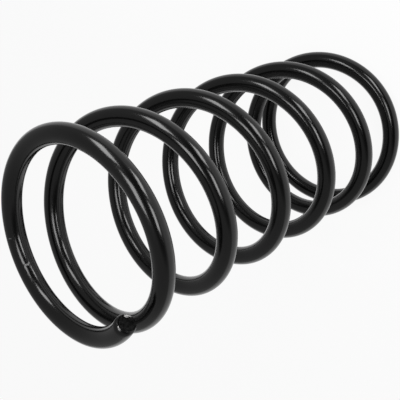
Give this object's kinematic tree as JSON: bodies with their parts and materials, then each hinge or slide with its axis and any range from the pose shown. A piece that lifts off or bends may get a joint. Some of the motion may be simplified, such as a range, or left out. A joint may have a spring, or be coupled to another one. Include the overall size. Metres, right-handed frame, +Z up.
{
  "type": "suspension spring",
  "caption": "Helical suspension spring of round wire with a gloss black coat, wound right-handed, with closed unground ends and shear-cut wire tips.",
  "frame": {"origin": "on the coil's axis, level with the lowest point of the bottom turn", "axes": "+Z up along the coil's axis; +X from the axis to the lower cut end of the wire"},
  "size_m": [0.146, 0.146, 0.3365],
  "materials": {
    "paint": "gloss"
  },
  "bodies": {
    "root": {"coil": "paint"}
  },
  "joints": []
}
